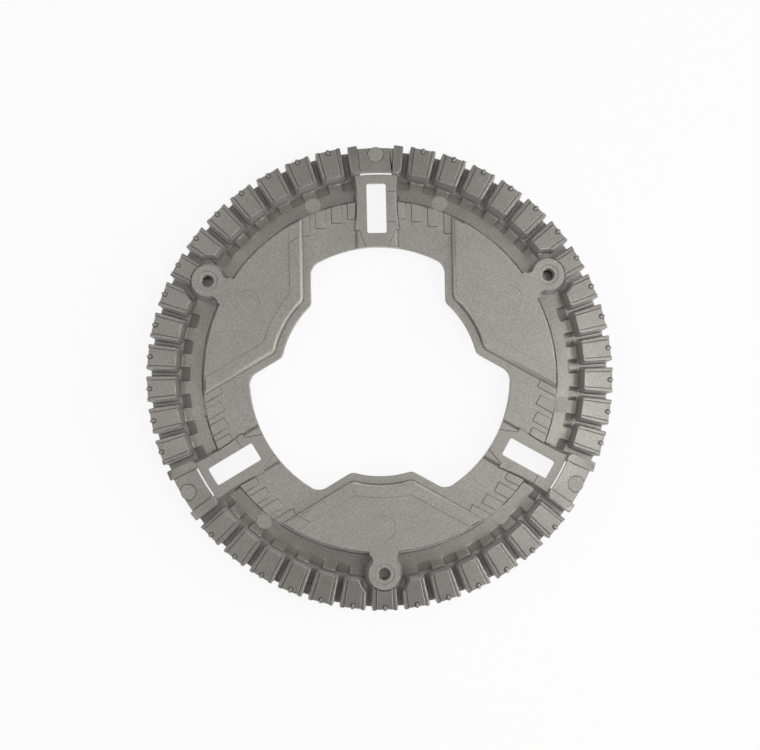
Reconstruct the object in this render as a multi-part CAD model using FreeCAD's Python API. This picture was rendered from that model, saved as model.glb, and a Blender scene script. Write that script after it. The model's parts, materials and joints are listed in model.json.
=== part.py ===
"""Burner ring of a gas hob: one aluminium casting with 39 flame teeth, port side up.

Millimetres, +Z up. The origin is on the ring's axis, in the flat plane that it rests on.
Features are drawn on the +X axis, where x is the radius and y runs along the
circumference, and are then turned to their places. A bridge lies on +Y.
"""
import FreeCAD, Part
import os
from math import asin, cos, degrees, radians, sin, sqrt

# Overall form
outside_radius = 65.0          # tooth tips
plate_height = 10.0            # raised plates, boss faces and tooth tops, above the rest plane
wall = 2.5                     # general thickness of the casting
thirds = 3                     # bridges, plates and bosses
first_bridge_angle = 90.0      # degrees, counter-clockwise from +X

# Teeth and ports
teeth_per_side = 6             # from a bridge's closed segment to the tooth at the boss
port_angle = 1.98              # degrees of one port
tooth_length = 8.3             # along a tooth's top
tooth_face_run = 0.8           # slope of a tooth's inner face, down to the channel
foot_bevel_width = 0.8         # bevel along the foot of that face
foot_bevel_rise = 0.85
foot_bevel_inset = 0.55        # it starts this far in front of the face
tooth_top_slope = 0.205        # fall of the tooth tops for each mm outward
tooth_corner = 0.6             # cut off the inner corners of a tooth, to flare the port's mouth
outer_wall_lean = 0.19         # the outside leans in by this much for each mm down
foot_chamfer = 0.8             # outer edge of the rest face
rest_inset = 0.4               # from the teeth's feet out to the rest face
rest_inner_run = 0.6           # slope of its inner side
port_floor = 3.1               # height of the port floor at the teeth's feet
port_floor_slope = 0.07        # fall of the port floor for each mm outward
port_draft = 0.06              # each port wall leans out by this much for each mm up
shoulder_angle = 0.92          # degrees, the low shoulder along each side of a tooth
shoulder_drop = 0.4
tip_step = 0.3                 # shoulders and pip stand this far out of the tooth's face
pip_width = 0.8
pip_length = 1.5
pip_rise = 0.3

# Channel inside the teeth, and the ramps that lead from it down into the ports
channel_width = 6.5
channel_wall_lean = 0.13       # its inner wall leans out by this much for each mm down
channel_height = 5.8           # channel floor at its inner edge
channel_slope = 0.21           # fall of the channel floor for each mm outward
ramp_length = 2.9
ramp_width = 3.85

# Inner zone, which is level, and the bore outline
zone_height = 6.8
bore_radius = 36.3             # bore beside the bridges
bore_outer_fillet = 4.0
bore_inner_fillet = 2.5
bore_lobe_ledge = 3.0          # from the bore to a raised plate, in front of the plate
bore_flank_ledge = 2.9         # the same beside the plate

# Raised plates
plate_flank = 21.6             # edge of a plate, from the bridge's centre line
plate_lobe_radius = 30.7       # edge of a plate in front
plate_edge_run = 0.75          # how far the plate's edge slopes out on its way down
plate_corner_radius = 1.2
rim_width = 3.0                # raised rim along the plate's bore side
rim_rise = 0.35
rim_end_bevel = 0.5
rim_step_inset = 4.7           # the rim is lower out here, on one side of each bridge
rim_step_drop = 0.25

# Screw bosses on the plates' axes
boss_inset = 1.2               # from the teeth's feet in to the boss centres
boss_radius = 4.4
boss_taper = 1.2               # how much wider a boss is at its foot
boss_gap = 2.9                 # the teeth beside a boss are cut back by this much
clearing_draft = 0.06
neck_half_width = 3.25
neck_flare = 0.7               # how much wider a neck is at its root
neck_waist_inset = 2.4
tapped_hole_radius = 1.65
tapped_hole_depth = 7.0
spot_face_radius = 2.8         # shallow flat round a hole's mouth
spot_face_depth = 0.2

# Bridges
bridge_height = 7.9
bridge_reach = 0.6             # from the teeth's feet out to a bridge's end
bridge_end_half_width = 5.85
bridge_waist_half_width = 5.4
bridge_inner_half_width = 6.0
bridge_nose_half_width = 5.3
bridge_draft = 0.3             # run of the bridge's sides for each mm down
nose_length = 4.7              # from the bore
nose_overlap = 0.8             # from the nose's land to where the bridge's sides begin
nose_side_run = 1.0            # run of the nose's sides for each mm down
nose_wide_half_width = 4.9     # the bridge's top land narrows towards the bore
nose_narrow_half_width = 3.1
nose_drop = 0.3
slot_half_width = 2.7
slot_bore_wall = 3.8           # from the bore to the slot
slot_end_wall = 2.4            # from the slot to the bridge's end
slot_corner_radius = 0.55
pad_inner_inset = 3.0          # shallow recess beside the slot, on the clockwise side
pad_outer_inset = 2.4
pad_depth = 0.25

# Closed segment outside each bridge, with an ear at each end
slit_width = 0.35
slit_half_length = 4.5
segment_top_inner = 9.4
segment_slope = 0.17
segment_thickness = 1.5
segment_setback = 1.1          # from the tooth tips' circle
segment_half_angle = 4.6       # degrees to the ears
segment_wall = 2.0
segment_disc_inset = 3.1       # ejector disc, from the tooth tips' circle
segment_disc_size = 2.25
ear_corner = 1.0               # cut off the inner corner of an ear, beside the port
ear_tip_near = 0.5             # crease of an ear's tip, from the tip at the segment's side
ear_tip_far = 2.1              # the same at the port's side
ear_tip_drop = 0.6             # fall of the tip beyond the crease
ear_fold_near = 4.0            # second crease, on the counter-clockwise ear alone
ear_fold_far = 5.2
ear_fold_drop = 0.15

# Tabs and ejector discs in front of the channel
tab_length = 4.8
tab_first_edge = 5.3           # from the bridge's centre line
tab_width = 2.8
tab_pitch = 4.5
tab_count = 4
tab_rise = 0.3
disc_angle = 20.2              # degrees from the bridge
disc_inset = 2.0               # from the channel's inner edge
disc_size = 2.2

# Underside
pocket_wall = 2.2              # walls round the hollows under the plates
bridge_pocket_half_width = 3.8
bridge_pocket_lead = 1.5       # the hollow under a bridge starts this far inside its slot

# Values that follow from the ones above
third_angle = 360.0 / thirds
half_third = third_angle / 2
clear = 1.0                    # how far a cutter runs past the surface that it opens
overlap = 0.3                  # how far a cutter runs into one that it continues
pitch = half_third / (teeth_per_side + 1.5)
port_half_angle = port_angle / 2
tooth_half_angle = pitch / 2 - port_half_angle
land_half_angle = tooth_half_angle - shoulder_angle
tooth_inner_radius = outside_radius - tooth_length
tooth_foot_radius = tooth_inner_radius - tooth_face_run
channel_radius = tooth_foot_radius - channel_width
ramp_start_radius = tooth_foot_radius - ramp_length
rest_inner_radius = tooth_foot_radius + rest_inset
bore_lobe_radius = plate_lobe_radius - bore_lobe_ledge
bore_flank = plate_flank - bore_flank_ledge
rim_step_radius = channel_radius - rim_step_inset
boss_circle_radius = tooth_foot_radius - boss_inset
boss_foot_radius = boss_radius + boss_taper
boss_clearing_radius = boss_radius + boss_gap
bridge_end_radius = tooth_foot_radius + bridge_reach
slot_inner_radius = bore_radius + slot_bore_wall
slot_outer_radius = bridge_end_radius - slot_end_wall
nose_start_radius = bore_radius + nose_length
bridge_inner_radius = nose_start_radius + nose_overlap
bridge_waist_radius = (bridge_inner_radius + bridge_end_radius) / 2
segment_angle = pitch - port_half_angle
segment_outer_radius = outside_radius - segment_setback
segment_disc_radius = outside_radius - segment_disc_inset
disc_radius = channel_radius + disc_inset
rim_height = plate_height + rim_rise
top_of_all = rim_height + clear
port_offsets = [pitch * k for k in range(1, teeth_per_side + 2)]
tooth_offsets = [pitch * (k + 0.5) for k in range(1, teeth_per_side + 1)]
bridge_angles = [first_bridge_angle + third_angle * k for k in range(thirds)]
boss_angles = [angle + half_third for angle in bridge_angles]
both_sides = (1, -1)
port_angles = [b + side * o for b in bridge_angles for side in both_sides for o in port_offsets]
tooth_angles = [b + side * o for b in bridge_angles for side in both_sides for o in tooth_offsets]
ear_angle = (segment_half_angle + segment_angle) / 2
ear_angles = [b + side * ear_angle for b in bridge_angles for side in both_sides]


def vector(x, y, z):
    return FreeCAD.Vector(x, y, z)


def polar(radius, angle, z=0.0):
    return vector(radius * cos(radians(angle)), radius * sin(radians(angle)), z)


def turned(shape, angle):
    copy = shape.copy()
    copy.rotate(vector(0, 0, 0), vector(0, 0, 1), angle)
    return copy


def at_angles(shapes, angles):
    return [turned(shape, angle) for shape in shapes for angle in angles]


def line(start, end):
    return Part.makeLine(start, end)


def arc(start, middle, end):
    return Part.Arc(start, middle, end).toShape()


def at_height(point, z):
    return vector(point.x, point.y, z)


def revolved(profile, start=0.0, sweep=360.0):
    """Turn a profile of (radius, z) points about the ring's axis."""
    outline = Part.makePolygon([vector(r, 0, z) for r, z in profile + profile[:1]])
    solid = Part.Face(outline).revolve(vector(0, 0, 0), vector(0, 0, 1), sweep)
    return turned(solid, start)


def band(profile, half_angle):
    """The same profile turned by an angle to each side of +X."""
    return revolved(profile, -half_angle, 2 * half_angle)


def prism(points, low, high):
    """Extrude an outline of (x, y) points from one height to another."""
    outline = Part.makePolygon([vector(x, y, low) for x, y in points + points[:1]])
    return Part.Face(outline).extrude(vector(0, 0, high - low))


def block(start, end, half_width, low, high):
    """A box that is centred on +X, from one radius to another."""
    return prism([(start, -half_width), (end, -half_width), (end, half_width), (start, half_width)],
                 low, high)


def sideways(profile, start, end):
    """Extrude a profile of (radius, z) points along y."""
    outline = Part.makePolygon([vector(r, start, z) for r, z in profile + profile[:1]])
    return Part.Face(outline).extrude(vector(0, end - start, 0))


def raised(edges_at, low, low_spread, high, high_spread):
    """A drafted solid between an outline at one height and the same outline, spread, at another."""
    wires = [Part.Wire(edges_at(z, spread)) for z, spread in ((low, low_spread), (high, high_spread))]
    return Part.makeLoft(wires, True, True)


def channel_floor(radius):
    return channel_height - channel_slope * (radius - channel_radius)


def channel_wall(z):
    """Radius of the channel's inner wall at a height."""
    return channel_radius - channel_wall_lean * (z - channel_height)


def tooth_top(radius):
    return plate_height - tooth_top_slope * (radius - tooth_inner_radius)


def port_floor_at(radius):
    return port_floor - port_floor_slope * (radius - tooth_foot_radius)


def segment_top(radius):
    return segment_top_inner - segment_slope * (radius - bridge_end_radius)


def outer_wall(z):
    return outside_radius - outer_wall_lean * (tooth_top(outside_radius) - z)


def tooth_tip(z):
    return outer_wall(z) * cos(radians(tooth_half_angle))


def tooth_face(z):
    """Radius of the teeth's inner faces at a height."""
    foot = channel_floor(tooth_foot_radius)
    lean = (tooth_inner_radius - tooth_foot_radius) / (plate_height - foot)
    return tooth_foot_radius + lean * (z - foot)


def ring():
    """The section that runs all the way round, below the teeth."""
    channel_outer = channel_floor(tooth_foot_radius)
    under_teeth = tooth_foot_radius + overlap
    outer = outside_radius + clear
    return revolved([
        (bore_lobe_radius - clear, zone_height),
        (channel_wall(zone_height), zone_height),
        (channel_radius, channel_height),
        (under_teeth, channel_floor(under_teeth)),
        (outer, channel_floor(under_teeth)),
        (outer, 0),
        (rest_inner_radius, 0),
        (rest_inner_radius - rest_inner_run, channel_outer - wall),
        (channel_radius - wall, zone_height - wall),
        (bore_lobe_radius - clear, zone_height - wall)])


def foot_bevel():
    """The bevel between the channel floor and the inner face of a tooth."""
    start = tooth_foot_radius - foot_bevel_inset
    low = channel_floor(start)
    end = start + foot_bevel_width
    half_width = end * sin(radians(pitch / 2))
    return sideways([(start - overlap, low - foot_bevel_rise * overlap / foot_bevel_width),
                     (end, low + foot_bevel_rise), (end, low - overlap), (start, low - overlap)],
                    -half_width, half_width)


def outside_cutter():
    """Beyond one flat of the outside, which is flush with a tooth's tip."""
    chamfer_start = tooth_tip(foot_chamfer)
    outer = outside_radius + 2 * clear
    return sideways([(chamfer_start - foot_chamfer - clear, -clear), (chamfer_start, foot_chamfer),
                     (tooth_tip(top_of_all), top_of_all), (outer, top_of_all), (outer, -clear)],
                    -pitch, pitch)


def corner_points(radius, flank, fillet, side):
    """Where a flank meets a circle, with the corner rounded on the side of larger radii.

    In a bridge's frame: the end of the flank, the middle of the round and the start of the circle.
    """
    centre = vector(sqrt((radius + fillet) ** 2 - (flank + fillet) ** 2), flank + fillet, 0)
    on_flank = vector(centre.x, flank, 0)
    on_circle = vector(centre.x, centre.y, 0) * (radius / (radius + fillet))
    towards = (on_flank - centre + on_circle - centre).normalize()
    points = [on_flank, centre + towards * fillet, on_circle]
    return [vector(point.x, side * point.y, 0) for point in points]


def mouth_points(radius, flank, fillet, side):
    """The same where the round lies inside the circle, as at the bore's outer corners."""
    centre = vector(sqrt((radius - fillet) ** 2 - (flank - fillet) ** 2), flank - fillet, 0)
    on_flank = vector(centre.x, flank, 0)
    on_circle = vector(centre.x, centre.y, 0) * (radius / (radius - fillet))
    towards = (on_flank - centre + on_circle - centre).normalize()
    points = [on_flank, centre + towards * fillet, on_circle]
    return [vector(point.x, side * point.y, 0) for point in points]


def turned_point(point, angle):
    return FreeCAD.Rotation(vector(0, 0, 1), angle).multVec(point)


def bore_cutter():
    """The bore: round in front of the raised plates, and wider beside each bridge."""
    edges = []
    for angle in bridge_angles:
        low_corner = corner_points(bore_lobe_radius, bore_flank, bore_inner_fillet, -1)
        low_mouth = mouth_points(bore_radius, bore_flank, bore_outer_fillet, -1)
        high_mouth = mouth_points(bore_radius, bore_flank, bore_outer_fillet, 1)
        high_corner = corner_points(bore_lobe_radius, bore_flank, bore_inner_fillet, 1)
        next_corner = [turned_point(p, third_angle) for p in low_corner]
        points = [turned_point(p, angle) for p in
                  low_corner[::-1] + low_mouth + [vector(bore_radius, 0, 0)]
                  + high_mouth[::-1] + high_corner
                  + [polar(bore_lobe_radius, half_third), next_corner[2]]]
        a, b, c, d, e, f, g, h, i, j, k, l, m, n, o = points
        edges += [arc(a, b, c), line(c, d), arc(d, e, f), arc(f, g, h), arc(h, i, j),
                  line(j, k), arc(k, l, m), arc(m, n, o)]
    face = Part.Face(Part.Wire(edges))
    face.translate(vector(0, 0, -clear))
    return face.extrude(vector(0, 0, top_of_all + clear))


def plate_edges(flank, lobe, outer, corner):
    """Outline of a raised plate on +X: each flank runs parallel to the bridge beside it."""
    def edges_at(z, spread):
        start = corner_points(lobe - spread, flank - spread, corner + spread, 1)
        start = [turned_point(p, -half_third) for p in start]
        end = [vector(p.x, -p.y, 0) for p in start]
        outer_end = half_third - degrees(asin((flank - spread) / outer))
        low, high = polar(outer, -outer_end), polar(outer, outer_end)
        lift = [at_height(p, z) for p in
                (low, start[0], start[1], start[2], vector(lobe - spread, 0, 0),
                 end[2], end[1], end[0], high, vector(outer, 0, 0))]
        a, b, c, d, e, f, g, h, i, j = lift
        return [line(a, b), arc(b, c, d), arc(d, e, f), arc(f, g, h), line(h, i), arc(i, j, a)]
    return edges_at


def plate():
    """A raised plate with a rim along its bore side, drafted down to the inner zone."""
    edges_at = plate_edges(plate_flank, plate_lobe_radius, channel_radius + clear,
                           plate_corner_radius)
    low = zone_height - clear
    spread = plate_edge_run * (rim_height - low) / (rim_height - zone_height)
    solid = raised(edges_at, low, spread, rim_height, 0.0)
    solid = solid.common(Part.makeCone(channel_wall(low), channel_wall(rim_height), rim_height - low,
                                       vector(0, 0, low)))
    inside = plate_edges(plate_flank + rim_width, plate_lobe_radius + rim_width,
                         channel_radius + clear, plate_corner_radius)
    face_cut = raised(inside, plate_height, 0.0, top_of_all, 0.0)
    step_cut = revolved([(rim_step_radius, rim_height - rim_step_drop),
                         (channel_radius + clear, rim_height - rim_step_drop),
                         (channel_radius + clear, top_of_all),
                         (rim_step_radius, top_of_all)], -half_third, half_third)
    edge = channel_wall(rim_height)
    bevel = band([(edge - rim_end_bevel, rim_height),
                  (edge + overlap, rim_height - rim_end_bevel - overlap),
                  (edge + overlap, top_of_all), (edge - rim_end_bevel, top_of_all)], half_third)
    solid = solid.cut([face_cut, step_cut])
    corner = half_third - degrees(asin((plate_flank + rim_width) / channel_radius))
    keep = band([(channel_radius - clear, plate_height), (channel_radius + clear, plate_height),
                 (channel_radius + clear, top_of_all), (channel_radius - clear, top_of_all)], corner)
    return solid.cut(bevel.cut(keep))


def plate_pocket():
    """The hollow under a raised plate."""
    edges_at = plate_edges(plate_flank + pocket_wall, plate_lobe_radius + pocket_wall,
                           channel_wall(plate_height) - pocket_wall, plate_corner_radius)
    return raised(edges_at, 0.0, 0.0, plate_height - wall, 0.0)


def cylinder(radius, at_radius, low, high):
    return Part.makeCylinder(radius, high - low, vector(at_radius, 0, low))


def port_side():
    """What lies beyond one side of a tooth: its side stands on a radius and is drafted."""
    side = sideways([(0, -top_of_all), (2 * outside_radius, -top_of_all),
                     (2 * outside_radius, clear), (0, clear)], 0, pitch)
    side.rotate(vector(0, 0, 0), vector(1, 0, 0), degrees(port_draft))
    side.rotate(vector(0, 0, 0), vector(0, 0, 1), tooth_half_angle)
    side.translate(vector(0, 0, plate_height))
    return side


def tooth():
    """One tooth, with low shoulders along its sides and a small rib at its tip."""
    low = port_floor_at(outside_radius) - overlap
    outer = outside_radius + clear
    top = plate_height + clear
    body = sideways([(tooth_face(low), low), (tooth_inner_radius, plate_height),
                     (outer, tooth_top(outer)), (outer, low)], -pitch / 2, pitch / 2)
    side = port_side()
    body = body.cut([side, side.mirror(vector(0, 0, 0), vector(0, 1, 0))])
    upright = [edge for edge in body.Edges
               if abs(edge.tangentAt(edge.FirstParameter).z) > sqrt(0.5)]
    inner = [edge for edge in upright if edge.CenterOfMass.x < tooth_inner_radius]
    body = body.makeChamfer(tooth_corner, inner)

    start = tooth_foot_radius - clear
    shoulder = sideways([(start, tooth_top(start) - shoulder_drop),
                         (outer, tooth_top(outer) - shoulder_drop), (outer, top), (start, top)],
                        0, pitch)
    shoulder.rotate(vector(0, 0, 0), vector(0, 0, 1), land_half_angle)
    land_tip = outside_radius * sin(radians(land_half_angle))
    setback = sideways([(tooth_tip(0) - tip_step, 0), (tooth_tip(top) - tip_step, top),
                        (outer + clear, top), (outer + clear, 0)], pip_width / 2, land_tip)
    cutters = [shoulder, setback]
    cutters += [cutter.mirror(vector(0, 0, 0), vector(0, 1, 0)) for cutter in cutters]
    return body.cut(cutters).fuse(pip())


def pip():
    """The rib in the middle of a tooth's tip, its inner end narrowed."""
    outer = outside_radius
    start = outer - pip_length
    shoulder = start + pip_width / 2
    half = pip_width / 2
    low = tooth_top(outer) - clear
    rib = prism([(start, -half / 2), (shoulder, -half), (outer, -half), (outer, half),
                 (shoulder, half), (start, half / 2)], low, tooth_top(start) + clear)
    skin = sideways([(start - clear, low), (outer, low), (outer, tooth_top(outer) + pip_rise),
                     (start - clear, tooth_top(start - clear) + pip_rise)], -clear, clear)
    return rib.common(skin)


def ramp_cutter():
    """The square ramp that leads from the channel down into a port, and the port's floor."""
    above = channel_floor(ramp_start_radius) + clear
    deep_end = tooth_face(port_floor) - overlap
    outer = outside_radius + clear
    return sideways([(ramp_start_radius, channel_floor(ramp_start_radius)),
                     (deep_end, port_floor_at(deep_end)), (outer, port_floor_at(outer)),
                     (outer, above), (ramp_start_radius - clear, above),
                     (ramp_start_radius - clear, channel_floor(ramp_start_radius - clear))],
                    -ramp_width / 2, ramp_width / 2)


def floor_cutter():
    """The floor of a port that has no ramp, beside a boss."""
    outer = outside_radius + clear
    inner = tooth_foot_radius - overlap
    return sideways([(inner, port_floor_at(inner)), (outer, port_floor_at(outer)),
                     (outer, plate_height), (inner, plate_height)],
                    -ramp_width / 2, ramp_width / 2)


def boss_clearing():
    """Room round a boss, to which the teeth beside it are cut back."""
    low = port_floor
    top = plate_height + clear
    foot_radius = boss_clearing_radius - clearing_draft * (top - low)
    return Part.makeCone(foot_radius, boss_clearing_radius, top - low,
                         vector(boss_circle_radius, 0, low))


def boss():
    """A screw boss, its face level with the raised plate."""
    cone = Part.makeCone(boss_foot_radius, boss_radius, plate_height - port_floor,
                         vector(boss_circle_radius, 0, port_floor))
    return cone.fuse(cylinder(boss_foot_radius, boss_circle_radius, 0, port_floor))


def neck():
    """The neck between a raised plate and its boss."""
    root = channel_radius - clear
    bend = channel_radius + overlap
    low = channel_floor(boss_circle_radius) - overlap
    root_half = neck_half_width + neck_flare
    side = [(root, root_half), (channel_radius, root_half),
            (bend, neck_half_width + neck_flare / 2),
            (channel_radius + neck_waist_inset, neck_half_width),
            (boss_circle_radius, neck_half_width)]
    a, b, c, d, e = [vector(r, y, low) for r, y in side]
    f, g, h, i, j = [vector(r, -y, low) for r, y in side[::-1]]
    outline = Part.Wire([line(a, b), arc(b, c, d), line(d, e), line(e, f), line(f, g),
                         arc(g, h, i), line(i, j), line(j, a)])
    return Part.Face(outline).extrude(vector(0, 0, plate_height - low))


def tapped_hole():
    """A blind cored hole in a shallow spot face."""
    bottom = plate_height - tapped_hole_depth
    mouth = plate_height - spot_face_depth
    profile = [(0, bottom), (tapped_hole_radius, bottom), (tapped_hole_radius, mouth),
               (spot_face_radius, mouth), (spot_face_radius, top_of_all), (0, top_of_all)]
    hole = revolved(profile)
    hole.translate(vector(boss_circle_radius, 0, 0))
    return hole


def bridge():
    """A bridge across the channel, waisted in plan, its sides drafted."""
    def edges_at(z, spread):
        end_half = bridge_end_half_width + spread
        side = [(bridge_inner_radius, bridge_inner_half_width + spread),
                (bridge_waist_radius, bridge_waist_half_width + spread),
                (sqrt(bridge_end_radius ** 2 - end_half ** 2), end_half)]
        a, b, c = [vector(r, y, z) for r, y in side]
        d, e, f = [vector(r, -y, z) for r, y in side[::-1]]
        inner = nose_start_radius
        g, h = vector(inner, f.y, z), vector(inner, a.y, z)
        end = vector(bridge_end_radius, 0, z)
        return [arc(a, b, c), arc(c, end, d), arc(d, e, f), line(f, g), line(g, h), line(h, a)]
    low = zone_height - wall
    return raised(edges_at, low, bridge_draft * (bridge_height - low), bridge_height, 0.0)


def nose():
    """The bridge's inner end: a lower body and a top land that narrows towards the bore."""
    start = bore_radius - clear
    end = nose_start_radius + clear
    shelf = bridge_height - nose_drop
    low = zone_height - wall / 2
    spread = nose_side_run * (shelf - low)

    def edges_at(z, extra):
        half = bridge_nose_half_width + extra
        a, b, c, d = [vector(x, y, z) for x, y in ((start, -half), (end, -half), (end, half),
                                                  (start, half))]
        return [line(a, b), line(b, c), line(c, d), line(d, a)]
    body = raised(edges_at, low, spread, shelf, 0.0)
    slant = (nose_wide_half_width - nose_narrow_half_width) / (nose_start_radius - bore_radius)
    narrow = nose_narrow_half_width - slant * clear
    wide = nose_wide_half_width
    land = prism([(start, -narrow), (nose_start_radius, -wide), (end, -wide), (end, wide),
                  (nose_start_radius, wide), (start, narrow)], low, bridge_height)
    return body.fuse(land)


def slot():
    """The slot through a bridge."""
    solid = block(slot_inner_radius, slot_outer_radius, slot_half_width, -clear,
                  bridge_height + clear)
    corners = [edge for edge in solid.Edges
               if abs(edge.tangentAt(edge.FirstParameter).z) > sqrt(0.5)]
    return solid.makeFillet(slot_corner_radius, corners)


def pad_recess():
    """A shallow recess beside the slot, on the clockwise side of a bridge."""
    inner = slot_inner_radius + pad_inner_inset
    outer = slot_outer_radius - pad_outer_inset
    return prism([(inner, 0), (outer, 0), (outer, -2 * bridge_inner_half_width),
                  (inner, -2 * bridge_inner_half_width)],
                 bridge_height - pad_depth, bridge_height + clear)


def bridge_pocket():
    """The hollow under a bridge."""
    return block(slot_inner_radius - bridge_pocket_lead, bridge_end_radius,
                 bridge_pocket_half_width, -clear, bridge_height - wall)


def above_plane(a, b, c):
    """A large block above the plane through three points."""
    normal = (b - a).cross(c - a).normalize()
    if normal.z < 0:
        normal = normal * -1
    size = outside_radius
    solid = Part.makeBox(size, size, size, vector(-size / 2, -size / 2, 0))
    solid.Placement = FreeCAD.Placement(a, FreeCAD.Rotation(vector(0, 0, 1), normal))
    return solid


def on_ear(inset, angle):
    """A point on an ear's top, this far from its tip."""
    radius = outside_radius - inset
    return polar(radius, angle, tooth_top(radius))


def ear_cutters():
    """The tips of both ears fall off beyond a slanting crease; one ear has a second crease."""
    near, far = segment_half_angle, segment_angle
    tip_end = on_ear(0, far) - vector(0, 0, ear_tip_drop)
    tip = above_plane(on_ear(ear_tip_near, near), on_ear(ear_tip_far, far), tip_end)
    fold_end = on_ear(ear_tip_far, far) - vector(0, 0, ear_fold_drop)
    fold = above_plane(on_ear(ear_fold_near, near), on_ear(ear_fold_far, far), fold_end)
    return [tip, tip.mirror(vector(0, 0, 0), vector(0, 1, 0)), fold]


def segment():
    """The closed segment beyond a bridge, with a raised ear at each end, hollow from below."""
    low = port_floor_at(outside_radius) - overlap
    outer = outside_radius + clear
    top = plate_height + clear
    body = band([(tooth_face(low), low), (tooth_inner_radius, plate_height),
                 (outer, tooth_top(outer)), (outer, low)], segment_angle)
    inner = [edge for edge in body.Edges
             if abs(edge.tangentAt(edge.FirstParameter).z) > sqrt(0.5)
             and edge.CenterOfMass.Length < tooth_inner_radius + wall]
    body = body.makeChamfer(ear_corner, inner).cut(ear_cutters())
    setback = outer_wall(segment_top(segment_outer_radius)) - segment_outer_radius
    above = band([(channel_radius, segment_top(channel_radius)), (outer, segment_top(outer)),
                  (outer, top), (channel_radius, top)], segment_half_angle)
    outside = band([(outer_wall(low) - setback, low), (outer_wall(top) - setback, top),
                    (outer + clear, top), (outer + clear, low)], segment_half_angle)
    disc_height = segment_top(segment_disc_radius)
    disc = cylinder(segment_disc_size, segment_disc_radius, disc_height - segment_thickness, top)
    over_disc = cylinder(segment_disc_size, segment_disc_radius, disc_height, top)
    return body.cut([above, outside]).fuse(disc).cut(over_disc)


def segment_hollow():
    """The space under the closed segment and the slit that opens it beside the bridge."""
    inner = bridge_end_radius + slit_width
    start = bridge_end_radius - clear
    hollow_outer = segment_outer_radius - segment_wall
    half_angle = degrees(asin(slit_half_length / inner))
    under = band([(start, -clear), (hollow_outer, -clear),
                  (hollow_outer, segment_top(hollow_outer) - segment_thickness),
                  (start, segment_top(start) - segment_thickness)], half_angle)
    slit = band([(start, -clear), (inner, -clear), (inner, top_of_all), (start, top_of_all)],
                half_angle)
    return [under, slit]


def tabs():
    """Low tabs between a bridge and the raised plates, their sides parallel to the bridge."""
    low = zone_height - clear
    high = zone_height + tab_rise
    inner = channel_radius - tab_length
    zone = Part.makeCone(channel_wall(low), channel_wall(high), high - low, vector(0, 0, low))
    solids = []
    for side in both_sides:
        for k in range(tab_count):
            near = tab_first_edge + tab_pitch * k
            far = near + tab_width
            start = sqrt(inner ** 2 - ((near + far) / 2) ** 2)
            strip = prism([(start, side * near), (channel_radius, side * near),
                           (channel_radius, side * far), (start, side * far)], low, high)
            solids.append(strip.common(zone))
    return solids


def build():
    disc_angles = [b + side * disc_angle for b in bridge_angles for side in both_sides]
    disc_height = channel_floor(disc_radius)
    clearings = at_angles([boss_clearing()], boss_angles)
    floors = at_angles([ramp_cutter()], [a for a in port_angles if near_boss(a) > pitch])
    floors += at_angles([floor_cutter()], [a for a in port_angles if near_boss(a) <= pitch])
    flats = at_angles([outside_cutter()], tooth_angles + boss_angles + bridge_angles)
    flats += at_angles([outside_cutter()], ear_angles)
    teeth = [one.cut(clearings) if near_boss(angle) < 2 * pitch else one
             for angle, one in ((a, turned(tooth(), a)) for a in tooth_angles)]
    teeth += at_angles([tooth()], boss_angles)
    body = ring().fuse(at_angles([foot_bevel()], tooth_angles)).cut(floors + [bore_cutter()])
    body = body.fuse(teeth + at_angles([segment()], bridge_angles))
    body = body.cut(flats + at_angles(segment_hollow(), bridge_angles))
    noses = [solid.cut(bore_cutter()) for solid in at_angles([nose()], bridge_angles)]
    body = body.fuse(at_angles([plate(), neck(), boss()], boss_angles)
                     + at_angles([bridge()], bridge_angles) + noses
                     + at_angles(tabs(), bridge_angles)
                     + at_angles([cylinder(disc_size, disc_radius, disc_height - clear,
                                           disc_height)], disc_angles))
    body = body.cut(at_angles([plate_pocket(), tapped_hole()], boss_angles)
                    + at_angles([bridge_pocket(), slot(), pad_recess()], bridge_angles)
                    + at_angles([cylinder(disc_size, disc_radius, disc_height, zone_height)],
                                disc_angles))
    return body.removeSplitter()


def near_boss(angle):
    """Angle from a direction to the nearest boss."""
    return min(abs((angle - boss_angle + 180) % 360 - 180) for boss_angle in boss_angles)


os.makedirs("parts", exist_ok=True)
solid = build()
solid.exportStep("parts/burner_ring.step")
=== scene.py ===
# %% [markdown]
# A gas burner head, dressed.
#
# The object is one aluminium die casting: the burner ring of a hob, lying with its port side
# up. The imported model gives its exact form. What is added here is what a mould and a blast of
# grit leave on such a piece: edges rounded by a fraction of a millimetre, a fine matt grain,
# threads in the three screw holes, and the faint marks of the pins that pushed it out of the
# mould. Lengths are in metres, and the small ones are written as millimetres times MM.

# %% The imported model, and its box
import json
from math import cos, pi, radians, sin, tan

import bmesh
import bpy
import numpy as np
from mathutils import Matrix, Vector
from mathutils.bvhtree import BVHTree
from mathutils.geometry import intersect_point_line


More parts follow.
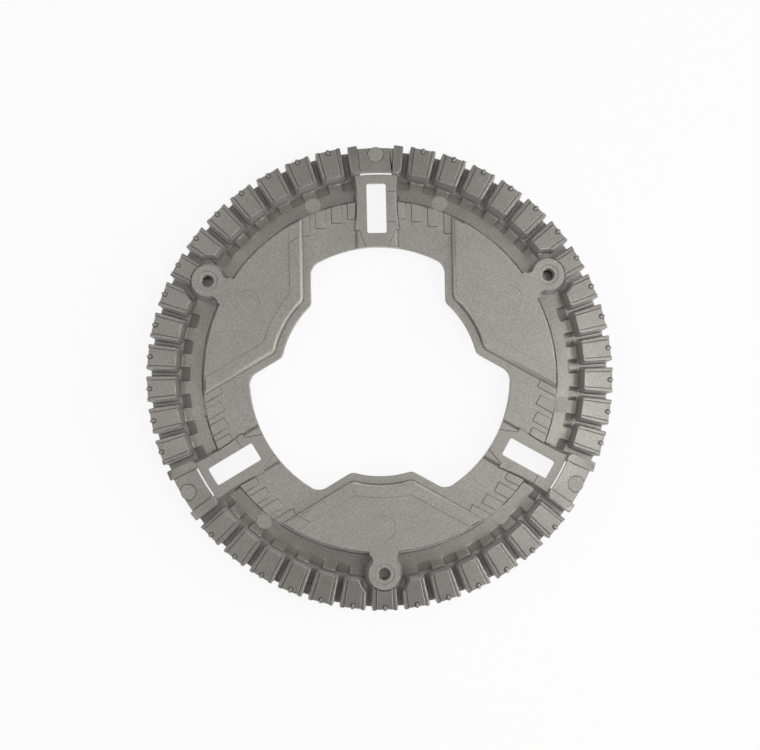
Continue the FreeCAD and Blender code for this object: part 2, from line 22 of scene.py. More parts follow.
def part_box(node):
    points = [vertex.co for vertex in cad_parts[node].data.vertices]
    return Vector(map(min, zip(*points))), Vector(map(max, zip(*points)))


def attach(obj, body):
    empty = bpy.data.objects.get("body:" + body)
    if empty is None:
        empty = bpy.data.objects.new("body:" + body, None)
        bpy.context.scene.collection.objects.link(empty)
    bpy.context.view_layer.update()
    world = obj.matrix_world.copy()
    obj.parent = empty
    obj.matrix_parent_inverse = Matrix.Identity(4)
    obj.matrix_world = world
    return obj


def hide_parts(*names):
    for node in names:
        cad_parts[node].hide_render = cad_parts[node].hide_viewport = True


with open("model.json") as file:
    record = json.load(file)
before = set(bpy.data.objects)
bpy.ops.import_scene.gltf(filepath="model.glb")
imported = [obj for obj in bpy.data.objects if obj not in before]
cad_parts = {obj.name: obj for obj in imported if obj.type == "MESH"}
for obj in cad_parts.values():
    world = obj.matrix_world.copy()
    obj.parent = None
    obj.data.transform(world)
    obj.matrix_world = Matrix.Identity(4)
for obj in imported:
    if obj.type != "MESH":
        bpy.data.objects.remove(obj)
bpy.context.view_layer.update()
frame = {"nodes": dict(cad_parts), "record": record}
MM = 0.001
ring_low, ring_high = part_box("burner_ring")
print("ring size in mm:", [round(v / MM, 2) for v in ring_high - ring_low])

# %% [markdown]
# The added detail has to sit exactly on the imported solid, so its sizes are read from the packed
# record and not typed again: the screw holes are its bolt pattern, and the plates' face is its
# upper seat. The ring has three plates with a boss each, a third of a turn apart. Angles are
# counted from +X, which points to the right in the picture.

# %% Sizes that the added detail needs
screws = next(m for m in frame["record"]["mounts"] if m["name"] == "cap_screws")
seat = next(m for m in frame["record"]["mounts"] if m["name"] == "cap_seat")
HOLE_CIRCLE = screws["dims"]["pcd_mm"] / 2 * MM
HOLE_RADIUS = screws["dims"]["hole_r_mm"] * MM
PLATE_TOP = seat["pos_m"][2]
BOSS_ANGLES = [radians(a) for a in (30, 150, 270)]
print("screw holes on a circle of radius", round(HOLE_CIRCLE / MM, 2), "mm")


# %% [markdown]
# A few helpers keep the other cells short. Colours are written as sRGB hex values, the way a
# picture shows them, and one function turns them into the linear values that a shader works
# with. Another adds a node of any kind, so that a material reads as a list of its nodes.

# %% Helpers for materials
def colour(text):
    """Linear RGBA of an sRGB hex colour.

    A part c of it becomes ((c + 0.055) / 1.055) to the power 2.4, or c / 12.92 if very dark.
    """
    parts = [int(text[i:i + 2], 16) / 255 for i in (1, 3, 5)]
    return [c / 12.92 if c <= 0.04045 else ((c + 0.055) / 1.055) ** 2.4 for c in parts] + [1.0]


def add(tree, kind, inputs=None, **settings):
    """Add a node. Settings are its own properties, or sockets by name with their values.

    Inputs say by name or number which socket of another node, or which value, goes in.
    """
    node = tree.nodes.new(kind)
    for key, value in settings.items():
        if hasattr(node, key):
            setattr(node, key, value)
        else:
            node.inputs[key.replace("_", " ")].default_value = value
    for key, value in (inputs or {}).items():
        if isinstance(value, bpy.types.NodeSocket):
            tree.links.new(value, node.inputs[key])
        else:
            node.inputs[key].default_value = value
    return node


def new_material(name):
    """A material without nodes, and its node tree."""
    material = bpy.data.materials.new(name)
    material.use_nodes = True
    material.node_tree.nodes.clear()
    return material, material.node_tree


# %% Helpers for meshes
def link(obj):
    """Put an object into the scene."""
    bpy.context.scene.collection.objects.link(obj)
    return obj


def opened(mesh):
    """A mesh as a bmesh, whose faces, edges and corners know their neighbours."""
    bm = bmesh.new()
    bm.from_mesh(mesh)
    return bm


def closed(bm, mesh):
    """Write a bmesh back into its mesh."""
    bm.to_mesh(mesh)
    bm.free()
    return mesh


def applied(obj):
    """A new mesh, as the object's modifiers leave it. The object and its own mesh go."""
    mesh = bpy.data.meshes.new_from_object(
        obj.evaluated_get(bpy.context.evaluated_depsgraph_get()))
    bpy.data.meshes.remove(obj.data)
    return mesh


# %% [markdown]
# The pins that push a casting out of its mould each leave a flat round mark, a hair lower than
# the face around it. The wide ones on the three plates are under a tenth of a millimetre deep.
# A bump in the material could draw them, but then they would be missing from the mesh, so they
# are sunk into it: a flat disc over each plate is taken away with a Boolean modifier.

# %% The discs over the plates
MARK_CIRCLE = 42.1 * MM
MARK_RADIUS = 3.4 * MM
MARK_DEPTH = 0.09 * MM
MARK_CLEAR = 1 * MM
MARK_SIDES = 48


def pin_discs():
    """The three discs as one mesh: from MARK_DEPTH below the plates to MARK_CLEAR above them.

    Rim point i is the disc's centre + radius (cos, sin) of its plate's angle + i turns / sides.
    """
    points, faces = [], []
    sides = np.arange(MARK_SIDES)
    for angle in BOSS_ANGLES:
        turn = angle + 2 * pi * sides / MARK_SIDES
        for height in (PLATE_TOP - MARK_DEPTH, PLATE_TOP + MARK_CLEAR):
            points.append(np.stack([MARK_CIRCLE * cos(angle) + MARK_RADIUS * np.cos(turn),
                                    MARK_CIRCLE * sin(angle) + MARK_RADIUS * np.sin(turn),
                                    np.full(MARK_SIDES, height)], axis=1))
        low = (len(points) - 2) * MARK_SIDES + sides
        high, ahead = low + MARK_SIDES, np.roll(low, -1)
        faces += [low[::-1].tolist(), high.tolist()]
        faces += np.stack([low, ahead, ahead + MARK_SIDES, high], axis=1).tolist()
    discs = bpy.data.meshes.new("pin_discs")
    discs.from_pydata(np.concatenate(points).tolist(), [], faces)
    return discs


# %% [markdown]
# The casting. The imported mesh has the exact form, but its edges are razor sharp, which no
# casting has: the metal doesn't quite fill a mould's corners, and the blast wears down what
# stands out. A voxel remesh would round everything, and swallow the low steps of a quarter of
# a millimetre along the teeth. A Bevel modifier rounds only the edges and leaves the faces
# between them as they are, so the mesh is made ready for one in the next cells. It comes as
# loose triangles. First they are welded, without which a Boolean or a Bevel has nothing to
# hold on to, and the pin marks are cut.

# %% The casting in one piece, with its pin marks
WELD = 1e-6

bare = frame["nodes"]["burner_ring"].data.copy()
bare.materials.clear()
bm = opened(bare)
bmesh.ops.remove_doubles(bm, verts=bm.verts, dist=WELD)
unmarked = link(bpy.data.objects.new("unmarked_casting", closed(bm, bare)))
print("triangles welded", len(bare.polygons))
discs = link(bpy.data.objects.new("pin_discs", pin_discs()))
marks = unmarked.modifiers.new("marks", "BOOLEAN")
marks.operation, marks.solver, marks.object = "DIFFERENCE", "EXACT", discs
bare = applied(unmarked)
bpy.data.meshes.remove(discs.data)
print("triangles with the marks", len(bare.polygons))

# %% [markdown]
# A bevel runs along the borders of whole faces, so the triangles that lie flat together are
# merged by a limited dissolve. A polygon can't have a hole, and some flat faces run right round
# the ring. So the ring is first cut at its three planes of symmetry, and the cuts are kept as
# seams that the dissolve doesn't cross. The search tree holds the exact casting, for later.

# %% Flat triangles merged into whole faces
FLAT = radians(0.3)

bm = opened(bare)
skin = BVHTree.FromBMesh(bm)
for angle in BOSS_ANGLES:
    cut = bmesh.ops.bisect_plane(bm, geom=bm.verts[:] + bm.edges[:] + bm.faces[:], dist=WELD,
                                 plane_co=(0, 0, 0), plane_no=(-sin(angle), cos(angle), 0))
    for item in cut["geom_cut"]:
        if isinstance(item, bmesh.types.BMEdge):
            item.seam = True
bmesh.ops.dissolve_limit(bm, angle_limit=FLAT, verts=bm.verts, edges=bm.edges,
                         delimit={"SEAM"})
print("whole faces", len(bm.faces))

# %% [markdown]
# Every sharp edge gets a round, but one width for all would eat the low steps, whose faces are
# narrower than the round. So each edge is given a share of the widest round. A curved border is
# made of many short edges, and its round has to stay even. So the share is worked out for a
# whole line of edges, which goes on from edge to edge until it turns a corner.

# %% Lines of sharp edges
SHARP = radians(24)
TURN = radians(40)


def edge_lines(bm, sharp):
    """Number the lines of sharp edges: at a bend under TURN, one edge carries on the other."""
    line_of = list(range(len(bm.edges)))

    def first(i):
        while line_of[i] != i:
            i = line_of[i]
        return i
    for face in bm.faces:
        for loop in face.loops:
            one, other = loop.edge.index, loop.link_loop_prev.edge.index
            if sharp[one] and sharp[other] and loop.calc_angle() > pi - TURN:
                line_of[first(one)] = first(other)
    return np.array([first(i) for i in range(len(bm.edges))])


weights = bm.edges.layers.float.new("bevel_weight_edge")
bm.edges.index_update()
sharp = np.array([edge.calc_face_angle() > SHARP for edge in bm.edges])
lines = edge_lines(bm, sharp)
print("sharp edges", int(sharp.sum()), "in lines", len(np.unique(lines[sharp])))

# %% [markdown]
# How wide may the round of a line be? It needs room in the faces on both sides of each edge,
# and the room ends at the nearest corner that isn't on the line itself. A round takes less than
# half of it, so that two rounds on the two sides of a narrow face never meet.

# %% Room for the rounds beside each line
ROUND = 0.28 * MM
SHARE = 0.42
WIDE_OPEN = 1.0


def room_beside(edge, face, lines):
    """Least distance from an edge to the face's corners that aren't on the edge's own line."""
    a, b = edge.verts[0].co, edge.verts[1].co
    own = {vert for other in face.edges if lines[other.index] == lines[edge.index]
           for vert in other.verts}
    room = WIDE_OPEN
    for vert in face.verts:
        if vert not in own:
            near, share = intersect_point_line(vert.co, a, b)
            near = a if share < 0 else b if share > 1 else near
            room = min(room, (vert.co - near).length)
    return room


fitting = np.full(len(bm.edges), ROUND)
for edge in bm.edges:
    if sharp[edge.index]:
        beside = min(room_beside(edge, face, lines) for face in edge.link_faces)
        line = lines[edge.index]
        fitting[line] = min(fitting[line], SHARE * beside)
widths = np.where(sharp, fitting[lines], 0.0)
print("mean width of the rounds", round(widths[sharp].mean() / MM, 3), "mm")

# %% [markdown]
# Rounds also meet at the corners of a face, where each takes a bit of the edge between them.
# If they would take nearly all of a short edge, the lines that meet there are narrowed a
# little, and everything is measured again, until no edge is tight.

# %% Rounds narrowed where they meet at corners
KEEP = 0.85
STRAIGHT = 0.002                         # sine of a corner that counts as straight
LEAST_FACTOR = 0.7                       # a line isn't narrowed further than this in one turn
BIT_UNDER = 0.99
TURNS_OF_FITTING = 80


def fitted_widths(bm, widths, lines):
    """Narrow the rounds until each edge keeps a part of its length in both of its faces.

    At a face's corner of angle t, between edges with rounds of widths a and b, the rounds take
    (b + a cos t) / sin t from the edge with a. Both ends together may take KEEP of its length.
    All edges of one line keep one width.
    """
    loops = [loop for face in bm.faces for loop in face.loops]
    place = {loop: i for i, loop in enumerate(loops)}
    after = np.array([place[loop.link_loop_next] for loop in loops])
    ahead = np.array([loop.edge.index for loop in loops])
    behind = np.array([loop.link_loop_prev.edge.index for loop in loops])
    lengths = np.array([loop.edge.calc_length() for loop in loops])
    corners = np.array([loop.calc_angle() for loop in loops])
    convex = np.array([loop.is_convex for loop in loops])
    corners = np.where(convex, corners, 2 * pi - corners)
    bends = np.abs(np.sin(corners)) > STRAIGHT
    sines = np.where(bends, np.sin(corners), 1.0)
    for attempt in range(TURNS_OF_FITTING):
        out = np.where(bends, (widths[behind] + widths[ahead] * np.cos(corners)) / sines, 0.0)
        back = np.where(bends, (widths[ahead] + widths[behind] * np.cos(corners)) / sines, 0.0)
        taken = out + back[after]
        tight = taken > KEEP * lengths
        if not tight.any():
            break
        factor = np.maximum(LEAST_FACTOR, KEEP * lengths[tight] / taken[tight] * BIT_UNDER)
        limit = np.ones(len(widths))
        for edges in (ahead[tight], behind[tight], ahead[after][tight]):
            np.minimum.at(limit, lines[edges], factor)
        widths = widths * limit[lines]
    print("edges still tight", int(tight.sum()), "after", attempt + 1, "turns")
    return widths


widths = fitted_widths(bm, widths, lines)
for edge in bm.edges:
    edge[weights] = widths[edge.index] / ROUND
for face in bm.faces:
    face.smooth = True
closed(bm, bare)
print("mean width of the rounds now", round(widths[sharp].mean() / MM, 3), "mm")

# %% [markdown]
# Now the bevel itself. It reads each edge's share of the widest round from the mesh, and gives
# the faces that it makes a material slot of their own, by which the wear and painted shade find
# them later. The mesh gets two empty slots for that.

# %% The bevel
FLATS, ROUNDS = 0, 1                     # material slots
ROUND_FACES = 2

for slot in (FLATS, ROUNDS):
    bare.materials.append(None)
sharp_casting = link(bpy.data.objects.new("sharp_casting", bare))
bevel = sharp_casting.modifiers.new("rounds", "BEVEL")
bevel.limit_method = "WEIGHT"
bevel.width = ROUND
bevel.segments = ROUND_FACES
bevel.use_clamp_overlap = False
bevel.material = ROUNDS
print("faces to bevel", len(bare.polygons), "with", len(bare.edges), "edges")

# %% [markdown]
# Where many edges meet in a small place, rounds may still fold over one another. A folded
# triangle faces away from all of the exact casting beside it, so the search tree finds it.

# %% Folded places
NEAR = 0.35 * MM
SPECK = 0.01 * MM                        # side of the smallest triangle that is looked at


def corners_of(mesh):
    """The corner points of a mesh's triangles, three to a triangle."""
    mesh.calc_loop_triangles()
    points = np.empty(len(mesh.vertices) * 3)
    mesh.vertices.foreach_get("co", points)
    corners = np.empty(len(mesh.loop_triangles) * 3, dtype=np.int32)
    mesh.loop_triangles.foreach_get("vertices", corners)
    return points.reshape(-1, 3)[corners.reshape(-1, 3)]


def folded_places(beveled, skin):
    """Corners of the small triangles that face away from the exact casting close by.

    A triangle's normal is the cross product of two of its sides; it is compared with the
    normals of the exact casting's faces within NEAR of the triangle's centre.
    """
    finished = beveled.evaluated_get(bpy.context.evaluated_depsgraph_get())
    triangles = corners_of(finished.to_mesh())
    finished.to_mesh_clear()
    crosses = np.cross(triangles[:, 1] - triangles[:, 0], triangles[:, 2] - triangles[:, 0])
    sizes = np.linalg.norm(crosses, axis=1)
    real = sizes > SPECK ** 2
    places = []
    for triangle, normal in zip(triangles[real], crosses[real] / sizes[real, None]):
        near = skin.find_nearest_range(Vector(triangle.mean(axis=0)), NEAR)
        if near and max(Vector(normal).dot(hit[1]) for hit in near) < 0.0:
            places += list(triangle)
    return places


# %% [markdown]
# Each line that comes near a folded place is narrowed and the bevel is made again, up to MENDS
# times. A smaller ROUND would help too, but it would thin every edge of the ring for the sake
# of a few corners. Then the modifier is applied, and what is still folded is counted: a few
# dozen specks, together under a fifth of a square millimetre.

# %% Rounds narrowed where they fold, and the bevel applied
NARROWED = 0.6
MENDS = 4


def narrow_rounds(mesh, places, lines):
    """Narrow the rounds of the lines that have an edge's end within NEAR of a folded place."""
    points = np.empty(len(mesh.vertices) * 3)
    mesh.vertices.foreach_get("co", points)
    points = points.reshape(-1, 3)
    close = np.zeros(len(points), dtype=bool)
    for place in places:
        close |= np.linalg.norm(points - place, axis=1) < NEAR
    ends = np.empty(len(mesh.edges) * 2, dtype=np.int32)
    mesh.edges.foreach_get("vertices", ends)
    touched = close[ends.reshape(-1, 2)].any(axis=1)
    touched = np.isin(lines, lines[touched])
    layer = mesh.attributes["bevel_weight_edge"].data
    values = np.empty(len(layer))
    layer.foreach_get("value", values)
    values[touched] *= NARROWED
    layer.foreach_set("value", values)
    mesh.update()
    print("narrowed edges", int((touched & (values > 0)).sum()))


for attempt in range(MENDS):
    places = folded_places(sharp_casting, skin)
    print("folded triangles", len(places) // 3)
    if not places:
        break
    narrow_rounds(bare, places, lines)
casting = link(bpy.data.objects.new("casting", applied(sharp_casting)))
print("faces of the casting", len(casting.data.polygons),
      "and triangles still folded", len(folded_places(casting, skin)) // 3)

# %% [markdown]
# Wear and painted shade. Handling rubs the edges of a casting a little lighter, and that
# lightening is partly a painted highlight; the creases are darkened as painted shade. The
# Geometry node's
# Pointiness finds both, but it depends on how finely a mesh is divided. So each face gets one
# number, which the finish reads as a face attribute: -1 in a sharp crease, 0 on a plain face and
# 1 on a sharp edge. The rounds come first. In the ports they get only a tenth of it, because the
# photograph shows no dark lines there.

# %% Edge wear and painted crease shade on the rounds
FULL_BEND = radians(20)
PORTS_FROM = 50.6 * MM
PORTS_ABOVE, PORTS_BELOW = 2 * MM, 6.0 * MM
IN_PORTS = 0.1


def bends_of(face):
    """Signed angles to a face's neighbours: above 0 over an edge, below 0 in a crease."""
    return [edge.calc_face_angle_signed(0.0) for edge in face.edges]


def in_port(face):
    """Whether a face's middle lies in a port or on its ramp, by its radius and its height."""
    middle = face.calc_center_median()
    return middle.xy.length > PORTS_FROM and PORTS_ABOVE < middle.z < PORTS_BELOW


def round_wear_and_shade(face):
    """Mean of a round's bends over FULL_BEND, weighted by its edges' lengths, from -1 to 1."""
    lengths = [edge.calc_length() for edge in face.edges]
    bend = np.dot(lengths, bends_of(face)) / (sum(lengths) * FULL_BEND)
    return max(-1.0, min(1.0, bend))


bm = opened(casting.data)
wear = bm.faces.layers.float.new("wear")
rounds = [face for face in bm.faces if face.material_index == ROUNDS]
flats = [face for face in bm.faces if face.material_index == FLATS]
# Painted shade in the creases (below 0); edges lighter by wear and a painted highlight (above 0).
for face in rounds:
    face[wear] = round_wear_and_shade(face) * (IN_PORTS if in_port(face) else 1.0)
print("rounds", len(rounds), "and flats", len(flats))

# %% [markdown]
# Some of the flat faces aren't plain either. The ramps that lead into the ports are painted
# lighter, as painted light in their recess, and the ports' level floors are painted a little
# darker, as painted shade.

# %% Painted light on the ramps and painted shade on the floors of the ports
RAMP_FROM, RAMP_TO = 0.7, 0.86           # the upward part of a ramp's normal
LEVEL = 0.99                             # and the least one of a floor's
FLOORS_FROM = 56 * MM
FLOOR_PAINTED_SHADE = -0.25

ramps = [face for face in flats if in_port(face) and RAMP_FROM < face.normal.z < RAMP_TO]
floors = [face for face in flats if in_port(face) and face.normal.z > LEVEL
          and face.calc_center_median().xy.length > FLOORS_FROM]
# Painted light: the ramps are lightened like an edge.
for face in ramps:
    face[wear] = 1.0
# Painted shade: the port floors are darkened a little.
for face in floors:
    face[wear] = FLOOR_PAINTED_SHADE
print("ramps", len(ramps), "and floors", len(floors))

# %% [markdown]
# The walls of the three plates that face the ring's open centre are painted nearly white, a
# painted reflection of the white table below the open centre. They get more than 1. They are the
# steep flat faces that look inwards, reach up to the plates and lie within their angles, which
# leaves out the walls of the bores and slots.

# %% Painted reflection on the inward walls of the plates
STEEP = 0.4                              # the largest upward part of a wall's normal
WALLS_WITHIN = 48.3 * MM
WALLS_REACH = 9.0 * MM
WALL_TURN = radians(36)
WALL_PAINTED_REFLECTION = 2.3


def is_inward_plate_wall(face):
    """Whether a face is a plate's wall that looks inwards.

    It lies within WALL_TURN of a boss if the dot product of its middle with the boss's
    direction is above its radius times the cosine of WALL_TURN.
    """
    middle = face.calc_center_median()
    along = max(cos(angle) * middle.x + sin(angle) * middle.y for angle in BOSS_ANGLES)
    return (middle.xy.length < WALLS_WITHIN and abs(face.normal.z) < STEEP
            and face.normal.xy.dot(middle.xy) < 0
            and max(vert.co.z for vert in face.verts) > WALLS_REACH
            and along > cos(WALL_TURN) * middle.xy.length)


walls = [face for face in flats if is_inward_plate_wall(face)]
for face in walls:
    # Painted reflection: these walls are lightened beyond the factor of an edge.
    face[wear] = WALL_PAINTED_REFLECTION
print("trimmed walls", len(walls))

# %% [markdown]
# A low step runs along each tooth, and the photograph shows a fine dark line in its crease. The
# step is too low for a round there that would be wide enough to see. So a thin strip of the
# shoulder beside it is cut off by an inset, which doesn't change the shape, and is darkened as
# painted shade in the crease.

# %% Painted shade lines along the teeth
SHOULDERS_FROM, SHOULDERS_ABOVE = 56.0 * MM, 8.0 * MM
NEARLY_LEVEL = 0.95
CREASE = -0.15                           # radians
CREASE_SHADE_WIDTH = 0.2 * MM


def is_shoulder(face):
    """Whether a face is a tooth's shoulder: nearly level, far out, high up, beside a crease."""
    middle = face.calc_center_median()
    return (middle.xy.length > SHOULDERS_FROM and middle.z > SHOULDERS_ABOVE
            and face.normal.z > NEARLY_LEVEL and min(bends_of(face)) < CREASE)


shoulders = [face for face in flats if is_shoulder(face)]
shade_strips = bmesh.ops.inset_individual(bm, faces=shoulders, thickness=CREASE_SHADE_WIDTH,
                                    use_even_offset=True)["faces"]
# Painted shade: the strip along the crease is darkened fully.
for strip in shade_strips:
    if min(bends_of(strip)) < CREASE:
        strip[wear] = -1.0
values = np.array([face[wear] for face in bm.faces])
for face in bm.faces:
    face.material_index = FLATS
closed(bm, casting.data).materials.clear()
print("shoulders", len(shoulders), "faces on edges", int((values > 0).sum()),
      "and in creases", int((values < 0).sum()))

# %% [markdown]
# A round is only two faces wide, so its shading has to do the rest. Plain smooth shading would
# bend the light over the flat faces too. Weighted normals lean towards the larger face at each
# corner, so the flat faces look flat, and the light turns within the rounds.

# %% Shading, and the casting's place in the frame
LARGE_FACES_LEAD = 80

normals = casting.modifiers.new("normals", "WEIGHTED_NORMAL")
normals.mode = "FACE_AREA"
normals.weight = LARGE_FACES_LEAD
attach(casting, "root")
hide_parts("burner_ring")
print("casting replaces burner_ring")

# %% [markdown]
# The screw holes are cored in the mould and then tapped M4, so a thread runs down their walls.
# A Screw modifier could sweep a profile, but the ends need care: a thread fades out where a tap
# starts and stops. So the ridge is worked out as a grid, with a section carried along a helix.
# The section is a blunt triangle whose foot is sunk into the wall.

# %% The section of a thread
PITCH = 0.7 * MM
THREAD_LOW = 3.5 * MM
THREAD_TURNS = 8.5
THREAD_HEIGHT = 0.2 * MM
FOOT_DEPTH = 0.05 * MM
FOOT, CREST = 0.38, 0.07                 # half widths, as parts of the pitch
FADE_TURNS = 0.4
FADED = 0.1
STEPS_A_TURN = 40
SECTION = ((FOOT_DEPTH, -FOOT), (-THREAD_HEIGHT, -CREST), (-THREAD_HEIGHT, CREST),
           (FOOT_DEPTH, FOOT))
print("thread length", round(THREAD_TURNS * PITCH / MM, 2), "mm")


# %% The thread of one hole
def thread(angle):
    """The ridge of one hole, as points and faces.

    At turn t, a corner of the section that stands out from the wall by w and along the axis by h
    pitches is at radius (hole + w f), angle 2 pi t and height low + (t + h) pitch. The factor f
    rises from FADED to 1 over the first FADE_TURNS, and falls again over the last.
    """
    turns = np.linspace(0, THREAD_TURNS, round(THREAD_TURNS * STEPS_A_TURN) + 1)[:, None]
    fade = np.clip(np.minimum(turns, THREAD_TURNS - turns) / FADE_TURNS, FADED, 1.0)
    proud, along = np.array(SECTION).T
    radius = HOLE_RADIUS + np.where(proud < 0, proud * fade, proud)
    points = np.stack([HOLE_CIRCLE * cos(angle) + radius * np.cos(2 * pi * turns),
                       HOLE_CIRCLE * sin(angle) + radius * np.sin(2 * pi * turns),
                       THREAD_LOW + (turns + along) * PITCH], axis=2)
    count, corners = len(turns), len(SECTION)
    grid = np.arange(count * corners).reshape(count, corners)
    ahead = np.roll(grid, -1, axis=1)
    sides = np.stack([grid[:-1], ahead[:-1], ahead[1:], grid[1:]], axis=2).reshape(-1, 4)
    ends = np.stack([grid[0][::-1], grid[-1]])
    return points.reshape(-1, 3), np.concatenate([sides, ends])


# %% Threads in the three screw holes
threads = [thread(angle) for angle in BOSS_ANGLES]
points = np.concatenate([ridge for ridge, faces in threads])
faces = np.concatenate([faces + i * len(ridge) for i, (ridge, faces) in enumerate(threads)])
thread_mesh = bpy.data.meshes.new("screw_threads")
thread_mesh.from_pydata(points.tolist(), [], faces.tolist())
bm = opened(thread_mesh)
bmesh.ops.recalc_face_normals(bm, faces=bm.faces)
screw_threads = link(bpy.data.objects.new("screw_threads", closed(bm, thread_mesh)))
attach(screw_threads, "root")
print("thread faces", len(thread_mesh.polygons))

# %% [markdown]
# The finish: a pressure-cast aluminium alloy, blasted with fine grit. Cast alloy is a darker and
# warmer grey than polished aluminium. The grit leaves a grain of a tenth to a third of a
# millimetre, which is drawn as a noise of that size and feeds both the colour and a bump. Wide,
# faint clouds of tone come from how the metal froze in the mould. Both patterns read Object
# coordinates, so they keep their size in millimetres on every face.

# %% Grain and clouds
GRAIN = 0.22 * MM
GRAIN_DARK, GRAIN_PALE = colour("#8a8781"), colour("#a7a49e")
GRAIN_FROM, GRAIN_TO = 0.3, 0.7          # the noise values that are dark and pale
CLOUD = 9.0 * MM
CLOUD_DARK, CLOUD_PALE = 0.88, 1.11

metal, nodes = new_material("blasted_cast_aluminium")
coordinates = add(nodes, "ShaderNodeTexCoord").outputs["Object"]
grain = add(nodes, "ShaderNodeTexNoise", {"Vector": coordinates},
            Scale=1 / GRAIN / 2, Detail=3.0, Roughness=0.6)
tone = add(nodes, "ShaderNodeValToRGB", {"Fac": grain.outputs["Fac"]})
dark, pale = tone.color_ramp.elements
dark.position, dark.color = GRAIN_FROM, GRAIN_DARK
pale.position, pale.color = GRAIN_TO, GRAIN_PALE
cloud = add(nodes, "ShaderNodeTexNoise", {"Vector": coordinates},
            Scale=1 / CLOUD, Detail=4.0, Roughness=0.55)
clouds = add(nodes, "ShaderNodeMapRange", {"Value": cloud.outputs["Fac"]},
             To_Min=CLOUD_DARK, To_Max=CLOUD_PALE)
print("grain", GRAIN / MM, "mm and clouds", CLOUD / MM, "mm")

# %% [markdown]
# The attribute of wear and painted light becomes a factor on the colour: the crease factor at -1
# (painted shade), 1 at 0 and the edge factor at 1 (edge wear, painted highlight and the ramps'
# painted light), with straight lines between. A Float Curve draws those two lines at once. It
# works between 0 and 1, so the attribute is brought into that range before it, and it holds half
# the factor, which is doubled after it. What the inward walls' painted reflection has above 1 is
# added on top.

# %% Wear and painted light as a factor on the colour
CREASE_PAINTED_SHADE = 0.3
EDGE_WEAR_AND_PAINTED_LIGHT = 1.3

wear_and_light_value = add(nodes, "ShaderNodeAttribute", attribute_name="wear").outputs["Fac"]
share = add(nodes, "ShaderNodeMapRange", {"Value": wear_and_light_value}, From_Min=-1.0, From_Max=1.0)
halved = add(nodes, "ShaderNodeFloatCurve", {"Value": share.outputs["Result"]})
curve = halved.mapping.curves[0]
curve.points[0].location = (0.0, CREASE_PAINTED_SHADE / 2)
curve.points[-1].location = (1.0, EDGE_WEAR_AND_PAINTED_LIGHT / 2)
curve.points.new(0.5, 0.5)
for point in curve.points:
    point.handle_type = "VECTOR"
halved.mapping.update()
# The painted reflection on the plates' inward walls: what the attribute has above 1.
above = add(nodes, "ShaderNodeMath", {0: wear_and_light_value, 1: 1.0}, operation="MAXIMUM")
above = add(nodes, "ShaderNodeMath", {0: above.outputs[0], 1: 1.0}, operation="SUBTRACT")
factor = add(nodes, "ShaderNodeMath", {0: halved.outputs["Value"], 1: 2.0,
                                       2: above.outputs[0]}, operation="MULTIPLY_ADD")
factor = add(nodes, "ShaderNodeMath", {0: factor.outputs[0], 1: clouds.outputs["Result"]},
             operation="MULTIPLY")
shade = add(nodes, "ShaderNodeVectorMath", {0: tone.outputs["Color"],
                                            "Scale": factor.outputs[0]}, operation="SCALE")
print("colour of a crease times", CREASE_PAINTED_SHADE, "and of an edge times", EDGE_WEAR_AND_PAINTED_LIGHT)

# %% [markdown]
# A polished metal is fully metallic: all of its colour is in its reflection. A blasted casting
# is not so simple. Its skin is broken up and covered by dull oxide, which scatters light like
# stone, and lifts the faces that stand edge-on to the eye. So the shader is half metallic, and
# a little sheen stands for the fuzz of the grit marks. The roughness sets how broad the glow of
# each lamp is.

# %% Blasted cast aluminium
GRAIN_DEPTH = 0.03 * MM

bump = add(nodes, "ShaderNodeBump", {"Height": grain.outputs["Fac"]},
           Strength=0.25, Distance=GRAIN_DEPTH)
shader = add(nodes, "ShaderNodeBsdfPrincipled",
             {"Base Color": shade.outputs["Vector"], "Normal": bump.outputs["Normal"]},
             Metallic=0.5, Roughness=0.32, Sheen_Weight=0.5, Sheen_Roughness=0.4)
add(nodes, "ShaderNodeOutputMaterial", {"Surface": shader.outputs["BSDF"]})
for piece in (casting, screw_threads):
    piece.data.materials.append(metal)
print("nodes in the finish", len(nodes.nodes))

# %% [markdown]
# The table. The ring lies on white. A plain white floor would turn grey wherever little light
# falls on it, and more light would burn out the metal. So the table glows with a strength of 1,
# which is white, for the camera and in reflections, and only a small share of it is paper that
# shows light and shadow, so that the ring still throws a faint shadow. For all other light it
# is paper throughout.

# %% White table
TABLE_SIZE = 6.0
PAPER = 0.12                             # share of the table that shows light and shadow

table_white, nodes = new_material("white_table")
path = add(nodes, "ShaderNodeLightPath")
seen = add(nodes, "ShaderNodeMath", {0: path.outputs["Is Camera Ray"],
                                     1: path.outputs["Is Glossy Ray"]}, operation="MAXIMUM")
seen = add(nodes, "ShaderNodeMath", {0: seen.outputs[0],
                                     1: path.outputs["Is Transmission Ray"]},
           operation="MAXIMUM")
glowing = add(nodes, "ShaderNodeMath", {0: seen.outputs[0], 1: 1 - PAPER},
              operation="MULTIPLY")
paper = add(nodes, "ShaderNodeBsdfDiffuse", Color=colour("#ffffff"))
glow = add(nodes, "ShaderNodeEmission", Color=colour("#ffffff"), Strength=1.0)
mixed = add(nodes, "ShaderNodeMixShader", {0: glowing.outputs[0], 1: paper.outputs[0],
                                           2: glow.outputs[0]})
add(nodes, "ShaderNodeOutputMaterial", {"Surface": mixed.outputs[0]})

half = TABLE_SIZE / 2
table_mesh = bpy.data.meshes.new("table")
table_mesh.from_pydata([(-half, -half, 0), (half, -half, 0), (half, half, 0), (-half, half, 0)],
                       [], [(0, 1, 2, 3)])
table_mesh.materials.append(table_white)
table = link(bpy.data.objects.new("table", table_mesh))
print("table", TABLE_SIZE, "m wide")

# %% [markdown]
# The light. Blasted metal shows each lamp as a broad, soft glow, so what matters is how much
# light comes from each side. In the photograph the faces that look to the right are the
# lightest. So most of the light comes from the right, low, high and from its front; the left
# gives less than half as much; and little comes straight from the back or from overhead. The
# pale room adds a tenth of white from all sides. The lamps are square softboxes that all aim at
# the ring.

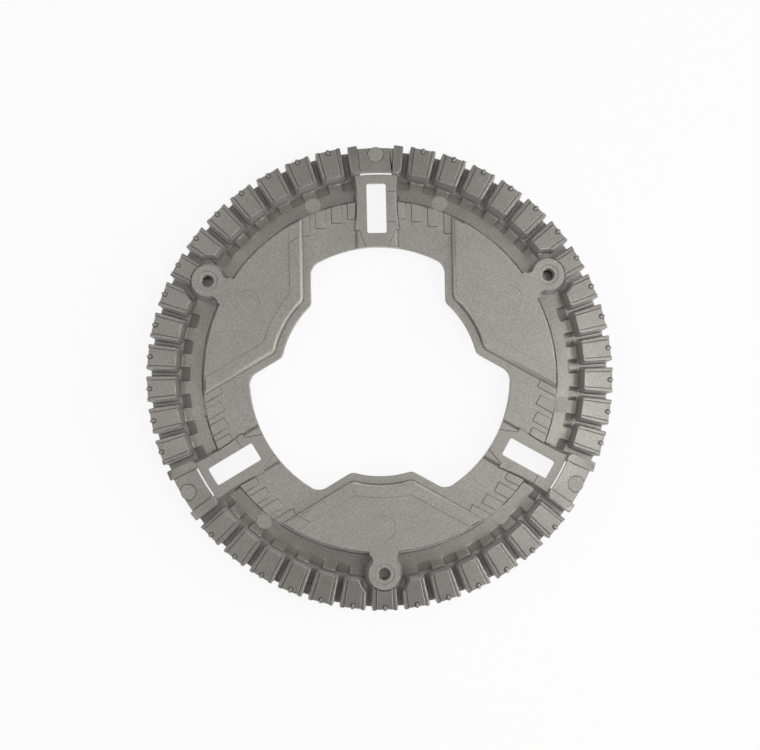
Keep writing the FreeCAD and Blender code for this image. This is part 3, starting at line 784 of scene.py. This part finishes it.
# %% Lamps
LAMP_DISTANCE = 0.9
LAMP_SIZE = 0.35
LAMPS = (                                # name, degrees round from the right, degrees up, watts
    ("right_low", 0, 20, 1.9),
    ("right_back_middle", 45, 42, 0.65),
    ("left_back_middle", 135, 42, 0.9),
    ("left_front_middle", 225, 42, 0.9),
    ("right_front_middle", 315, 42, 1.7),
    ("right_high", 0, 66, 1.55),
    ("back_high", 90, 66, 0.2),
    ("left_high", 180, 66, 0.55),
    ("overhead", 0, 90, 0.38),
)
for name, round_by, up_by, watts in LAMPS:
    round_by, up_by = radians(round_by), radians(up_by)
    lamp = bpy.data.lights.new(name, "AREA")
    lamp.shape = "SQUARE"
    lamp.size = LAMP_SIZE
    lamp.energy = watts
    softbox = link(bpy.data.objects.new(name, lamp))
    softbox.location = LAMP_DISTANCE * Vector((cos(up_by) * cos(round_by),
                                               cos(up_by) * sin(round_by), sin(up_by)))
    softbox.rotation_euler = (-softbox.location).to_track_quat("-Z", "Y").to_euler()
print("lamps", len(LAMPS), "with", round(sum(lamp[3] for lamp in LAMPS), 2), "W in all")

# %% Pale room
ROOM_LIGHT = 0.1

world = bpy.data.worlds.new("room")
bpy.context.scene.world = world
world.use_nodes = True
world.node_tree.nodes.clear()
pale_walls = add(world.node_tree, "ShaderNodeBackground", Color=colour("#ffffff"),
                 Strength=ROOM_LIGHT)
add(world.node_tree, "ShaderNodeOutputWorld", {"Surface": pale_walls.outputs[0]})
print("room light", ROOM_LIGHT)

# %% [markdown]
# The camera hangs almost straight above, a little towards the front and the left, which the
# slits beside the bridges show: more white is seen through the far one than the near ones.
# It is rolled by 1.2 degrees, as the ring lies turned by that much in the picture. The lens
# follows from how many pixels the circle through the tooth tips measures, and the shift from
# where its centre is.

# %% The camera's place and lens
IMAGE_WIDTH, IMAGE_HEIGHT = 760, 750
DISTANCE = 0.600
LEAN_FRONT, LEAN_LEFT = radians(2.97), radians(1.44)
ROLL = radians(1.2)
RING_PIXELS = 234.0                      # radius of the circle through the tooth tips
RING_CENTRE = (380.2, 376.3)             # its centre in the picture, from the top left
RING_RADIUS = 0.065
TIP_HEIGHT = 0.0083
SENSOR = 36.0

place = Vector((-DISTANCE * tan(LEAN_LEFT), -DISTANCE * tan(LEAN_FRONT), DISTANCE))
place = Matrix.Rotation(ROLL, 3, "Z") @ place
target = Vector((0, 0, TIP_HEIGHT))
focal_pixels = RING_PIXELS / RING_RADIUS * (place - target).length
lens = bpy.data.cameras.new("camera")
lens.sensor_width = SENSOR
lens.lens = focal_pixels * SENSOR / IMAGE_WIDTH
lens.shift_x = (IMAGE_WIDTH / 2 - RING_CENTRE[0]) / IMAGE_WIDTH
lens.shift_y = (RING_CENTRE[1] - IMAGE_HEIGHT / 2) / IMAGE_WIDTH
print("lens", round(lens.lens, 1), "mm")

# %% The camera, turned to the ring
back = (place - target).normalized()
up = Matrix.Rotation(-ROLL, 3, "Z") @ Vector((0, 1, 0))
side = up.cross(back).normalized()
up = back.cross(side)
camera = link(bpy.data.objects.new("camera", lens))
camera.matrix_world = Matrix.Translation(place) @ Matrix((side, up, back)).transposed().to_4x4()
bpy.context.scene.camera = camera
bpy.context.scene.view_settings.view_transform = "Standard"
print("camera at", [round(v, 3) for v in place])
